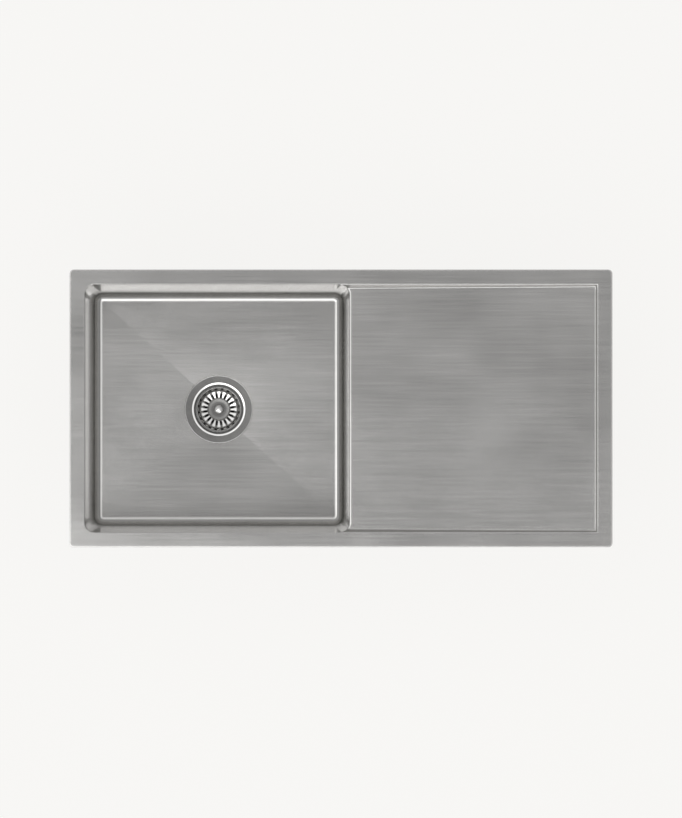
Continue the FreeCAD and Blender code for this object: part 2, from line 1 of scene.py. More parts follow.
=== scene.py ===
import bpy
import bmesh
import json
import math
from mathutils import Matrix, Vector


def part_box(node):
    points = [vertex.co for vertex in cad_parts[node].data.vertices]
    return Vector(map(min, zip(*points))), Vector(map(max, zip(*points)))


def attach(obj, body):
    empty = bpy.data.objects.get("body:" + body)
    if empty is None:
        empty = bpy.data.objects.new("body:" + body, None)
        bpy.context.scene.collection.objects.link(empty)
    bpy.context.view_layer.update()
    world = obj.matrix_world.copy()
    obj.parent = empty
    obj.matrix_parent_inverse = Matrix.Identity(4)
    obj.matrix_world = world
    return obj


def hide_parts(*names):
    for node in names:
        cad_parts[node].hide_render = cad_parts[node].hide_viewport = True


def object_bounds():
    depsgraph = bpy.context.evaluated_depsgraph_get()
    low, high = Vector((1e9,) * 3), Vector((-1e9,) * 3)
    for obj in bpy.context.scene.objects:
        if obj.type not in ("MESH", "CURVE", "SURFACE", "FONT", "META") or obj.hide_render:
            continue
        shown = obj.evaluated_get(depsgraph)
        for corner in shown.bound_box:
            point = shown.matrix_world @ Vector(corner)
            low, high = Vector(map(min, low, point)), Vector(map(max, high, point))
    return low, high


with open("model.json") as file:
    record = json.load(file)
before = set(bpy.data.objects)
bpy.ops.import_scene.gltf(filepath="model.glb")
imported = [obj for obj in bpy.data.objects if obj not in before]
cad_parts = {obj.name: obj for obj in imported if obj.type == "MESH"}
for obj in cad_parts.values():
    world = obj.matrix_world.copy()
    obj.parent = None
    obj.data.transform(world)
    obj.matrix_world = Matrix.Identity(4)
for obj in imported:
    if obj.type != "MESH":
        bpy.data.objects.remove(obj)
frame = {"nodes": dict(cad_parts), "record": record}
cad_box = [list(v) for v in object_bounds()]
nodes = frame["nodes"]

# ---------------------------------------------------------------- driving sizes, in millimetres
MM = 0.001
SHEET = 1.2
RIM_WIDTH = 24.0
RIM_CORNER = 7.0
RIM_EDGE = ((4.0, 0.0), (2.0, 0.03), (1.0, 0.08), (0.45, 0.15), (0.15, 0.28), (0.0, 0.5))
RIM_BEND = 1.4
BOWL_LENGTH = 419.0
BOWL_DEPTH = 200.0
BOWL_CORNER = 15.0
FLOOR_FILLET = 13.5
WALL_LEAN = 10.5
FLOOR_FALL = 3.0
FALL_SQUARE = 80.0
SKIRT = 17.0
SEAT_RADIUS = 57.0
SEAT_DEPTH = 2.6
DRAIN_HOLE = 44.0
TRAY_DEPTH_FAR = 6.5
TRAY_DEPTH_BOWL = 12.5
TRAY_BEND = 2.0
TRAY_WALL_ANGLE = math.radians(70)
TRAY_FILLET = 2.2
LIP_RADIUS = 3.0
LIP_END_RADIUS = 0.9
LIP_FULLNESS = 1.3
RIM_BEND_ANGLE = math.radians(88)
FALL_MARGIN = 1.0
FALL_EVEN = 0.7
FALL_POWER = 5

deck_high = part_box("deck_panel")[1] / MM
HALF_X, HALF_Y = deck_high.x, deck_high.y
INNER_X, INNER_Y = HALF_X - RIM_WIDTH, HALF_Y - RIM_WIDTH
BOWL_LEFT, BOWL_RIGHT = -INNER_X, BOWL_LENGTH - INNER_X
DRAIN_X = (BOWL_LEFT + BOWL_RIGHT) / 2
TOP = deck_high.z
FLOOR_Z = TOP - BOWL_DEPTH
WELD_Z = TOP - SKIRT
SEAT_Z = FLOOR_Z - FLOOR_FALL - SEAT_DEPTH

# how the rows of the sheet are spaced
BEND_STEPS = 4
TRAY_WALL_PARTS = 3
TRAY_FILLET_STEPS = 5
FILLET_STEPS = 9
CORNER_STEPS = 12
LONG_SIDE_STEPS = 26
SHORT_SIDE_STEPS = 24
RIM_CORNER_STEPS = 8
WALL_STEPS = (0.04, 0.12, 0.25, 0.4, 0.55, 0.7, 0.84, 0.94, 1.0)
FLOOR_STEPS = (0.01, 0.03, 0.12, 0.25, 0.4, 0.55, 0.7, 0.82, 0.92, 0.985, 1.0)
SEAT_ROWS = ((56.0, 1.0), (55.6, 0.99), (55.42, 0.96), (55.33, 0.88), (55.28, 0.1), (55.1, 0.0), (50.0, 0.0),
             (DRAIN_HOLE, 0.0))
FLOOR_LINES = (186.5, 184.5, 182.5, 180.6, 177.0, 168.0, 150.0, 125.0, 95.0, 65.0, 32.0, 0.0)
FIRST_STATION = 3.0
NEAR_STATIONS = 3
NEAR_PITCH = 9.0
STATION_PITCH = 22.0
STATIONS_END = 40.0
LAST_STATION = 14.0
SETTLE_ROUNDS = 30
RUN_OUT = 0.05
TOUCH = 0.01

# ---------------------------------------------------------------- mesh helpers
def new_object(name, bm, sharp=35.0, uv=None, turned_right=False):
    """A smooth-shaded object from a bmesh in millimetres, its edges sharp above that angle."""
    bmesh.ops.remove_doubles(bm, verts=bm.verts, dist=0.004)
    bmesh.ops.dissolve_degenerate(bm, edges=bm.edges, dist=0.002)
    if turned_right:
        bm.normal_update()
    else:
        bmesh.ops.recalc_face_normals(bm, faces=bm.faces)
    if uv:
        layer = bm.loops.layers.uv.new("grain")
        for face in bm.faces:
            for loop in face.loops:
                loop[layer].uv = uv(face, loop.vert.co)
    for edge in bm.edges:
        if len(edge.link_faces) == 2:
            edge.smooth = edge.calc_face_angle(0.0) < math.radians(sharp)
    for face in bm.faces:
        face.smooth = True
    bmesh.ops.scale(bm, vec=(MM, MM, MM), verts=bm.verts)
    mesh = bpy.data.meshes.new(name)
    bm.to_mesh(mesh)
    bm.free()
    obj = bpy.data.objects.new(name, mesh)
    bpy.context.scene.collection.objects.link(obj)
    return obj


def weighted(obj):
    """Flat faces keep flat shading beside small bends."""
    mod = obj.modifiers.new("flat_faces", "WEIGHTED_NORMAL")
    mod.keep_sharp = True
    mod.weight = 60


def rounded(outline, steps=6, closed=True):
    """(radius, z) points of an outline; a point written (radius, z, blend) becomes an arc of that radius."""
    points = []
    count = len(outline)
    for i, corner in enumerate(outline):
        here = Vector(corner[:2])
        inside = closed or 0 < i < count - 1
        if len(corner) < 3 or not inside:
            points.append(tuple(here))
            continue
        before = (Vector(outline[i - 1][:2]) - here).normalized()
        after = (Vector(outline[(i + 1) % count][:2]) - here).normalized()
        half = before.angle(after) / 2
        middle = (before + after).normalized()
        centre = here + middle * (corner[2] / math.sin(half))
        start = here + before * (corner[2] / math.tan(half)) - centre
        end = here + after * (corner[2] / math.tan(half)) - centre
        turn = start.angle_signed(end)
        for k in range(steps + 1):
            a = -turn * k / steps
            points.append((centre.x + start.x * math.cos(a) - start.y * math.sin(a),
                           centre.y + start.x * math.sin(a) + start.y * math.cos(a)))
    return points


def lathe(name, outline, closed=True, segments=96, choose=None):
    """A smooth turned piece about the drain's axis; choose(radius, z) gives a strip's material."""
    points = rounded(outline, closed=closed)
    bm = bmesh.new()
    rings = []
    for r, z in points:
        if r < 0.001:
            rings.append([bm.verts.new((DRAIN_X, 0, z))] * segments)
            continue
        rings.append([bm.verts.new((DRAIN_X + r * math.cos(2 * math.pi * k / segments),
                                    r * math.sin(2 * math.pi * k / segments), z)) for k in range(segments)])
    pairs = list(zip(rings, rings[1:])) + ([(rings[-1], rings[0])] if closed else [])
    for i, (a, b) in enumerate(pairs):
        made = len(bm.faces)
        quad_strip(bm, a, b, closed=True)
        if choose:
            r0, z0 = points[i]
            r1, z1 = points[(i + 1) % len(points)]
            bm.faces.ensure_lookup_table()
            for face in bm.faces[made:]:
                face.material_index = choose((r0 + r1) / 2, (z0 + z1) / 2)
    return new_object(name, bm)


def quad_strip(bm, first, second, closed=False):
    """Faces between two equal rows of vertices."""
    count = len(first) if closed else len(first) - 1
    for i in range(count):
        j = (i + 1) % len(first)
        corners = []
        for v in (first[i], first[j], second[j], second[i]):
            if v not in corners:
                corners.append(v)
        if len(corners) > 2:
            try:
                bm.faces.new(corners)
            except ValueError:
                pass


# ---------------------------------------------------------------- the pressed sheet
def wall_inset(z):
    return WALL_LEAN * max(0.0, WELD_Z - z) / (WELD_Z - FLOOR_Z)


def tray_depth(x):
    share = (x - BOWL_RIGHT) / (INNER_X - BOWL_RIGHT)
    return TRAY_DEPTH_BOWL + (TRAY_DEPTH_FAR - TRAY_DEPTH_BOWL) * share


def tray_profile(depth):
    """(distance in from the opening's edge, depth) down a side wall of the drainboard to its floor."""
    slope = TRAY_WALL_ANGLE
    points = []
    for i in range(BEND_STEPS + 1):
        t = slope * i / BEND_STEPS
        points.append((TRAY_BEND * math.sin(t) - RIM_BEND, TRAY_BEND * (1 - math.cos(t))))
    d0, h0 = points[-1]
    h1 = depth - TRAY_FILLET * (1 - math.cos(slope))
    d1 = d0 + (h1 - h0) / math.tan(slope)
    for i in range(1, TRAY_WALL_PARTS):
        points.append((d0 + (d1 - d0) * i / TRAY_WALL_PARTS, h0 + (h1 - h0) * i / TRAY_WALL_PARTS))
    centre = d1 + TRAY_FILLET * math.sin(slope)
    for i in range(TRAY_FILLET_STEPS + 1):
        t = slope * (1 - i / TRAY_FILLET_STEPS)
        points.append((centre - TRAY_FILLET * math.sin(t), depth - TRAY_FILLET * (1 - math.cos(t))))
    return points


def lip_x(y):
    """The bowl's outline at its drainboard end."""
    over = abs(y) - (INNER_Y - BOWL_CORNER)
    if over <= 0:
        return BOWL_RIGHT
    return BOWL_RIGHT - BOWL_CORNER + math.sqrt(max(0.0, BOWL_CORNER ** 2 - over ** 2))


def ring_point(column, inset, radius):
    """A column's place in plan on the bowl's outline, drawn in by inset and with that corner radius."""
    kind, index, value = column
    x0, x1, y1 = BOWL_LEFT + inset, BOWL_RIGHT - inset, INNER_Y - inset
    cx0, cx1, cy = x0 + radius, x1 - radius, y1 - radius
    if kind == "arc":
        cx, cyy = ((cx1, cy), (cx0, cy), (cx0, -cy), (cx1, -cy))[index]
        a = math.radians(value)
        return cx + radius * math.cos(a), cyy + radius * math.sin(a)
    if kind == "back":
        return cx1 + (cx0 - cx1) * value, y1
    if kind == "left":
        return x0, cy - 2 * cy * value
    if kind == "front":
        return cx0 + (cx1 - cx0) * value, -y1
    return x1, -cy + 2 * cy * value


def fall_z(x, y):
    """Height of the bowl's creased floor."""
    half_x = BOWL_LENGTH / 2 - WALL_LEAN - FLOOR_FILLET - FALL_MARGIN
    half_y = INNER_Y - WALL_LEAN - FLOOR_FILLET - FALL_MARGIN
    inner = FALL_SQUARE / 2
    share = min((half_x - abs(x - DRAIN_X)) / (half_x - inner), (half_y - abs(y)) / (half_y - inner))
    share = min(1.0, max(0.0, share))
    return FLOOR_Z - FLOOR_FALL * (FALL_EVEN * share + (1 - FALL_EVEN) * share ** FALL_POWER)


def tray_lines():
    """The drainboard's long lines from back to front: ("wall", k, side) or ("floor", y, side)."""
    count = len(tray_profile(TRAY_DEPTH_FAR))
    back = [("wall", k, 1) for k in range(count)] + [("floor", y, 1) for y in FLOOR_LINES]
    front = [("floor", y, -1) for y in reversed(FLOOR_LINES[:-1])]
    return back + front + [("wall", k, -1) for k in reversed(range(count))]


def line_point(line, x):
    kind, value, side = line
    if kind == "floor":
        return Vector((x, side * value, TOP - tray_depth(x)))
    d, h = tray_profile(tray_depth(x))[value]
    return Vector((x, side * (INNER_Y - d), TOP - h))


def line_start(line):
    """Where a long line meets the bowl's outline, or None for those that run out into the rim bend."""
    x = BOWL_RIGHT
    for _ in range(SETTLE_ROUNDS):
        y = abs(line_point(line, x).y)
        if y >= INNER_Y - RUN_OUT:
            return None
        x = lip_x(y)
    return x


def build_shell():
    """Rim, bowl and drainboard as one sheet, drawn as its upper face and thickened downwards."""
    bm = bmesh.new()
    lines = tray_lines()
    starts = [line_start(line) for line in lines]
    walls = len(tray_profile(TRAY_DEPTH_FAR))
    stations = [BOWL_RIGHT + LIP_RADIUS + FIRST_STATION + NEAR_PITCH * i for i in range(NEAR_STATIONS)]
    while stations[-1] < INNER_X - STATIONS_END:
        stations.append(stations[-1] + STATION_PITCH)
    stations.append(INNER_X - LAST_STATION)

    # columns round the bowl, from the back right corner's far tangent point anticlockwise
    columns, caps = [], []
    left_part = [("back", 0, i / LONG_SIDE_STEPS) for i in range(LONG_SIDE_STEPS + 1)]
    left_part += [("arc", 1, 90 + 90 * i / CORNER_STEPS) for i in range(1, CORNER_STEPS + 1)]
    left_part += [("left", 0, i / SHORT_SIDE_STEPS) for i in range(1, SHORT_SIDE_STEPS + 1)]
    left_part += [("arc", 2, 180 + 90 * i / CORNER_STEPS) for i in range(1, CORNER_STEPS + 1)]
    left_part += [("front", 0, i / LONG_SIDE_STEPS) for i in range(1, LONG_SIDE_STEPS + 1)]
    for column in left_part:
        columns.append(column)
        x, y = ring_point(column, 0, BOWL_CORNER)
        ox, oy = ring_point(column, -RIM_BEND, BOWL_CORNER + RIM_BEND)
        cap = []
        for i in range(BEND_STEPS + 1):
            t = RIM_BEND_ANGLE * i / BEND_STEPS
            f = math.sin(t)
            cap.append(Vector((ox + (x - ox) * f, oy + (y - oy) * f, TOP - RIM_BEND * (1 - math.cos(t)))))
        caps.append(cap)
    half_height = INNER_Y - BOWL_CORNER
    for n in reversed(range(len(lines))):
        if starts[n] is None:
            continue
        corner = line_point(lines[n], starts[n])
        drop = TOP - corner.z
        share = min(1.0, drop / TRAY_DEPTH_BOWL)
        r = LIP_END_RADIUS + (LIP_RADIUS - LIP_END_RADIUS) * share ** 2
        head = line_point(lines[n], starts[n] + r)
        foot = corner - Vector((0, 0, r))
        cap = []
        for i in range(BEND_STEPS + 1):
            t = i / BEND_STEPS
            pull = 2 * LIP_FULLNESS * t * (1 - t)
            cap.append((head * (1 - t) ** 2 + corner * pull + foot * t ** 2) / ((1 - t) ** 2 + pull + t ** 2))
        if abs(corner.y) > half_height:
            sign = 1 if corner.y > 0 else -1
            over = min(1.0, (abs(corner.y) - half_height) / BOWL_CORNER)
            angle = math.degrees(math.asin(over))
            columns.append(("arc", 0, angle) if sign > 0 else ("arc", 3, 360 - angle))
        else:
            columns.append(("right", 0, (corner.y + half_height) / (2 * half_height)))
        caps.append(cap)

    # the bowl: caps, walls, fillet, creased floor, sunk seat
    lean_angle = math.atan(WALL_LEAN / (WELD_Z - FLOOR_Z))
    centre_z = FLOOR_Z + FLOOR_FILLET
    centre_in = wall_inset(centre_z) + FLOOR_FILLET / math.cos(lean_angle)
    wall_foot_z = centre_z - FLOOR_FILLET * math.sin(lean_angle)
    rows = [[bm.verts.new(cap[i]) for cap in caps] for i in range(BEND_STEPS + 1)]
    for step in WALL_STEPS:
        row = []
        for column, cap in zip(columns, caps):
            z = cap[-1].z + (wall_foot_z - cap[-1].z) * step
            x, y = ring_point(column, wall_inset(z), BOWL_CORNER)
            row.append(bm.verts.new((x, y, z)))
        rows.append(row)
    foot_in = wall_inset(wall_foot_z)
    for i in range(1, FILLET_STEPS + 1):
        t = lean_angle + (math.pi / 2 - lean_angle) * i / FILLET_STEPS
        inset = centre_in - FLOOR_FILLET * math.cos(t)
        z = centre_z - FLOOR_FILLET * math.sin(t)
        radius = BOWL_CORNER - (inset - foot_in)
        rows.append([bm.verts.new((*ring_point(c, inset, radius), z)) for c in columns])
    edge = [Vector(ring_point(c, centre_in, BOWL_CORNER - FLOOR_FILLET)) for c in columns]
    square = math.radians(45)
    targets = []
    real_corner = math.atan2(INNER_Y - centre_in, BOWL_LENGTH / 2 - centre_in)
    for p, c in zip(edge, columns):
        a = math.atan2(abs(p.y), abs(p.x - DRAIN_X))
        if a < real_corner:
            b = square * a / real_corner
        else:
            b = square + (math.pi / 2 - square) * (a - real_corner) / (math.pi / 2 - real_corner)
        targets.append(Vector((DRAIN_X + math.copysign(SEAT_RADIUS * math.cos(b), p.x - DRAIN_X),
                               math.copysign(SEAT_RADIUS * math.sin(b), p.y))))
    for step in FLOOR_STEPS:
        row = []
        for p, q in zip(edge, targets):
            x, y = p.x + (q.x - p.x) * step, p.y + (q.y - p.y) * step
            row.append(bm.verts.new((x, y, fall_z(x, y))))
        rows.append(row)
    for radius, share in SEAT_ROWS:
        row = []
        for q in targets:
            direction = (q - Vector((DRAIN_X, 0))).normalized() * radius
            rise = (fall_z(q.x, q.y) - SEAT_Z) * share
            row.append(bm.verts.new((DRAIN_X + direction.x, direction.y, SEAT_Z + rise)))
        rows.append(row)
    for a, b in zip(rows, rows[1:]):
        quad_strip(bm, a, b, closed=True)

    # the drainboard: one row of vertices per long line, bent round the far end for the wall lines
    side_ys = [line[2] * line[1] for line in lines if line[0] == "floor"]
    far_profile = tray_profile(TRAY_DEPTH_FAR)
    heads = {n: rows[0][0] if starts[n] is None and lines[n][2] > 0 else
             rows[0][len(left_part) - 1] if starts[n] is None else None for n in range(len(lines))}
    at = len(left_part)
    for n in reversed(range(len(lines))):
        if starts[n] is not None:
            heads[n] = rows[0][at]
            at += 1
    along = {}
    for n, line in enumerate(lines):
        along[n] = [heads[n]] + [bm.verts.new(line_point(line, x)) for x in stations]
    rings = []
    for k in range(walls):
        d, h = far_profile[k]
        x, y, z = INNER_X - d, INNER_Y - d, TOP - h
        far = [bm.verts.new((x, y, z))] + [bm.verts.new((x, s, z)) for s in side_ys]
        far.append(bm.verts.new((x, -y, z)))
        rings.append(along[k] + far + list(reversed(along[len(lines) - 1 - k])))
    for a, b in zip(rings, rings[1:]):
        quad_strip(bm, a, b)
    floor = [n for n, line in enumerate(lines) if line[0] == "floor"]
    inner_far = rings[-1][len(stations) + 1:len(rings[-1]) - len(stations) - 1]
    floor_rows = [along[walls - 1] + [inner_far[0]]]
    for i, n in enumerate(floor):
        floor_rows.append(along[n] + [inner_far[i + 1]])
    floor_rows.append(along[len(lines) - walls] + [inner_far[-1]])
    for a, b in zip(floor_rows, floor_rows[1:]):
        quad_strip(bm, a, b)

    # the flat rim and its rolled edge
    inner = [rows[0][i] for i in range(len(left_part))]
    front_run = list(reversed(rings[0]))[1:]
    inner += front_run[:-1]
    outer_points, inner_loop = [], []

    def corner_arc(cx, cy, start):
        turns = [math.radians(start + 90 * i / RIM_CORNER_STEPS) for i in range(RIM_CORNER_STEPS + 1)]
        return [(cx + RIM_CORNER * math.cos(t), cy + RIM_CORNER * math.sin(t)) for t in turns]

    cx, cy = HALF_X - RIM_CORNER, HALF_Y - RIM_CORNER
    edge_x = INNER_X + RIM_BEND
    edge_y = INNER_Y + RIM_BEND
    for v in inner:
        x, y = v.co.x, v.co.y
        right = x > edge_x - TOUCH
        if right and abs(y) > edge_y - TOUCH:
            points = corner_arc(cx, cy, 0) if y > 0 else corner_arc(cx, -cy, 270)
            outer_points += points
            inner_loop += [v] * len(points)
        elif right:
            outer_points.append((HALF_X, y))
            inner_loop.append(v)
        elif x < BOWL_LEFT + BOWL_CORNER - TOUCH / 10 and abs(y) > INNER_Y - BOWL_CORNER + TOUCH / 10:
            a = math.atan2(abs(y) - (INNER_Y - BOWL_CORNER), (BOWL_LEFT + BOWL_CORNER) - x)
            outer_points.append((-cx - RIM_CORNER * math.cos(a),
                                 math.copysign(cy + RIM_CORNER * math.sin(a), y)))
            inner_loop.append(v)
        elif abs(y) > edge_y - TOUCH:
            outer_points.append((max(-cx, x), math.copysign(HALF_Y, y)))
            inner_loop.append(v)
        else:
            outer_points.append((-HALF_X, max(-cy, min(cy, y))))
            inner_loop.append(v)
    previous = inner_loop
    for inset, drop in RIM_EDGE:
        row = []
        for x, y in outer_points:
            nx = max(0.0, abs(x) - cx) / RIM_CORNER
            ny = max(0.0, abs(y) - cy) / RIM_CORNER
            row.append(bm.verts.new((x - math.copysign(nx * inset, x), y - math.copysign(ny * inset, y),
                                     TOP - drop)))
        quad_strip(bm, previous, row, closed=True)
        previous = row

    def grain(face, co):
        """U runs with the grain: along X, and up the end walls, as in a sheet bent after brushing."""
        if abs(face.normal.x) > abs(face.normal.y):
            return (co.x + math.copysign(co.z, co.x - DRAIN_X)) * MM, co.y * MM
        return co.x * MM, (co.y + math.copysign(co.z, co.y)) * MM

    shell = new_object("pressed_shell", bm, sharp=60.0, uv=grain)
    solid = shell.modifiers.new("sheet", "SOLIDIFY")
    solid.thickness = SHEET * MM
    solid.offset = -1
    solid.use_even_offset = True
    solid.material_offset = 1
    weighted(shell)
    return shell


# ---------------------------------------------------------------- the waste
# slot 1 is satin steel whose dark colour is partly a real satin finish, partly a painted dark reflection
# slot 2 is dark steel whose colour is painted shade in the throat, the cup below it and the basket's lower
# bend
POLISH, SATIN_PAINTED_REFLECTION, PAINTED_SHADE = 0, 1, 2
flange_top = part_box("strainer_body")[1].z / MM
flange_foot = SEAT_Z
outlet_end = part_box("strainer_body")[0].z / MM
basket_low, basket_high = (v.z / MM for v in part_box("basket"))
bush_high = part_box("guide_bush")[1].z / MM
bush_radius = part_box("guide_bush")[1].x / MM - DRAIN_X
knob_low, knob_high = (v.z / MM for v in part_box("knob"))
knob_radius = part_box("knob")[1].x / MM - DRAIN_X

FLANGE_RADIUS = 55.0
FLANGE_SHEET = 1.2
FLANGE_UNDERCUT = 1.4
BEAD_HEIGHT = 1.5
BEAD_CROWN = 0.9
BEAD_BLEND = 0.6
DISH_EDGE = 53.0
DISH_DROP = 0.6
DISH_FALL = 0.9
DISH_BLEND = 0.9
THROAT_EDGE = 42.8
THROAT_CONE_FOOT = 39.8
THROAT_CONE_FALL = 0.55
THROAT_CONE_BLEND = 0.7
THROAT_RADIUS = 39.2
THROAT_BEND_DROP = 1.4
THROAT_BEND = 1.0
THROAT_SHADE = 2.0
LEDGE_BORE = 36.8
LEDGE_DEPTH = 10.0
LEDGE_SHEET = 1.5
LEDGE_BLEND = 0.4
CUP_DEPTH = 46.0
CUP_THREAD = 41.6
CUP_THREAD_TOP = 8.0
CUP_THREAD_LENGTH = 26.0
CUP_SHOULDER = 39.6
CUP_BLEND = 4.0
CUP_FOOT_BLEND = 3.0
CUP_FOOT_WIDTH = 6.0
CUP_FLOOR_SHEET = 2.0
THREAD_PITCH = 1.8
THREAD_DEPTH = 0.7
OUTLET_THREAD = 23.9
OUTLET_THREAD_DEPTH = 0.6
OUTLET_THREAD_TOP = 3.0
OUTLET_BORE = 20.5
OUTLET_SEAT = 3.0
OUTLET_SEAT_RISE = 1.2
OUTLET_SEAT_SLOPE = 0.5
OUTLET_CHAMFER = 0.6
SMALL_BLEND = 0.3
EDGE_BLEND = 0.8
BAND_MARGIN = 0.2


def thread(radius, top, bottom, pitch, depth):
    """Outline points down a thread drawn as even ridges."""
    count = max(1, int((top - bottom) / pitch))
    step = (top - bottom) / count
    points = []
    for i in range(count):
        z = top - step * i
        points += [(radius - depth, z), (radius - depth, z - step * 0.15),
                   (radius, z - step * 0.45), (radius, z - step * 0.7)]
    return points + [(radius - depth, bottom)]


def build_strainer():
    """Flange with its bead, satin band and polished throat, then the ledge, the cup and the outlet; the
    band's dark colour is partly a painted reflection, and the cup below the throat is painted shade.
    """
    ledge = flange_top - LEDGE_DEPTH
    ledge_foot = ledge - LEDGE_SHEET
    cup_floor = flange_top - CUP_DEPTH
    cup_under = cup_floor - CUP_FLOOR_SHEET
    under = flange_foot + FLANGE_SHEET
    thread_top = flange_foot - CUP_THREAD_TOP
    thread_end = under - CUP_THREAD_LENGTH
    outlet_thread_top = cup_floor - OUTLET_THREAD_TOP
    foot = OUTLET_THREAD + CUP_FOOT_WIDTH
    seat, seat_top = OUTLET_BORE + OUTLET_SEAT, cup_floor + OUTLET_SEAT_RISE
    dish_out, dish_in = flange_top - DISH_DROP, flange_top - DISH_FALL
    cone_foot = dish_in - THROAT_CONE_FALL
    outline = [
        (FLANGE_RADIUS, flange_foot), (FLANGE_RADIUS, flange_foot + BEAD_HEIGHT, BEAD_BLEND),
        (FLANGE_RADIUS - BEAD_CROWN, flange_top, EDGE_BLEND), (DISH_EDGE, dish_out, DISH_BLEND),
        (THROAT_EDGE, dish_in, EDGE_BLEND), (THROAT_CONE_FOOT, cone_foot, THROAT_CONE_BLEND),
        (THROAT_RADIUS, cone_foot - THROAT_BEND_DROP, THROAT_BEND),
        (THROAT_RADIUS, ledge, 1.5 * LEDGE_BLEND), (LEDGE_BORE, ledge, LEDGE_BLEND),
        (LEDGE_BORE, ledge_foot, LEDGE_BLEND), (THROAT_RADIUS, ledge_foot - LEDGE_SHEET, EDGE_BLEND),
        (THROAT_RADIUS, thread_end - 1.0, CUP_BLEND), (foot, cup_floor, CUP_FOOT_BLEND),
        (seat + OUTLET_SEAT_SLOPE, cup_floor), (seat, seat_top, SMALL_BLEND),
        (OUTLET_BORE + OUTLET_CHAMFER, seat_top, SMALL_BLEND), (OUTLET_BORE, seat_top - OUTLET_CHAMFER),
        (OUTLET_BORE, outlet_end)]
    outline += reversed(thread(OUTLET_THREAD, outlet_thread_top, outlet_end, THREAD_PITCH,
                               OUTLET_THREAD_DEPTH))
    outline += [(OUTLET_THREAD, cup_under, SMALL_BLEND), (foot + 1.0, cup_under, CUP_BLEND),
                (CUP_SHOULDER, thread_end - 2.0, CUP_FOOT_BLEND), (CUP_SHOULDER, thread_end)]
    outline += reversed(thread(CUP_THREAD, thread_top, thread_end, THREAD_PITCH, THREAD_DEPTH))
    outline += [(CUP_THREAD, thread_top + 0.4), (CUP_THREAD, under), (FLANGE_RADIUS - FLANGE_UNDERCUT, under),
                (FLANGE_RADIUS - FLANGE_UNDERCUT, flange_foot)]

    def choose(r, z):
        # the satin band's dark colour is partly a painted reflection
        if THROAT_EDGE - 1.5 * BAND_MARGIN < r < DISH_EDGE + BAND_MARGIN and z > under + BAND_MARGIN:
            return SATIN_PAINTED_REFLECTION
        # below the throat's shade line everything inside the cup's shoulder gets the dark steel: painted
        # shade down the throat, cup and outlet
        return PAINTED_SHADE if r < CUP_SHOULDER and z < cone_foot - THROAT_SHADE else POLISH

    return lathe("strainer", outline, segments=128, choose=choose)


BUSH_HOLE = 4.0
BASKET_RIM = 37.2
BASKET_RIM_DROP = 1.2
BASKET_RIM_BLEND = 0.35
BASKET_MOUTH = 35.2
BASKET_MOUTH_BLEND = 0.6
BASKET_FOOT = 31.0
BASKET_BEND = 3.0
BASKET_SHEET = 0.8
BASKET_ROW = 0.9
FLAT_MARGIN = 1.5
FLAT_BLEND = 6.0
FLOOR_RISE = 3.0
SLOTS = 20
SLOT_HALF = 1.5
WALL_SLOT_HALF = 2.2
SLIT_HALF = 0.16
FLOOR_SLOT_START = 18.4
FLOOR_SLOT_END = 25.4
WALL_SLOT_RISE = 7.5
WALL_SLOT_TOP = 3.8
SLOT_END_SHARE = 0.72
SLOT_GUARD = 2.4
SLOT_GUARD_ANGLE = 0.15
LAND_PARTS = 4


def basket_rows():
    """(radius, z, slot half-width, open) from the basket's middle out and up to its rim."""
    top, floor = basket_high, basket_low + BASKET_SHEET
    inner_foot, inner_mouth = BASKET_FOOT - BASKET_SHEET, BASKET_MOUTH - BASKET_SHEET
    profile = rounded([
        (BUSH_HOLE, floor), (FLOOR_SLOT_START - FLAT_MARGIN, floor, FLAT_BLEND),
        (inner_foot, floor + FLOOR_RISE, BASKET_BEND), (inner_mouth, top, BASKET_MOUTH_BLEND),
        (BASKET_RIM, top, BASKET_RIM_BLEND), (BASKET_RIM, top - BASKET_RIM_DROP)], steps=5, closed=False)
    fine = [profile[0]]
    for a, b in zip(profile, profile[1:]):
        pieces = max(1, round(math.dist(a, b) / BASKET_ROW))
        fine += [(a[0] + (b[0] - a[0]) * k / pieces, a[1] + (b[1] - a[1]) * k / pieces)
                 for k in range(1, pieces + 1)]
    rows = []
    for r, z in fine:
        slot_open = r >= FLOOR_SLOT_START and z <= top - WALL_SLOT_TOP
        half = SLIT_HALF
        if slot_open and r <= FLOOR_SLOT_END:
            half = SLOT_HALF
        elif slot_open and z >= floor + WALL_SLOT_RISE:
            half = WALL_SLOT_HALF
        rows.append([r, z, half, slot_open])
    widths = [row[2] for row in rows]
    for i in range(1, len(rows) - 1):
        if widths[i] > SLIT_HALF and SLIT_HALF in (widths[i - 1], widths[i + 1]):
            rows[i][2] = widths[i] * SLOT_END_SHARE
    rows[max(i for i, row in enumerate(rows) if row[3])][3] = False
    return rows


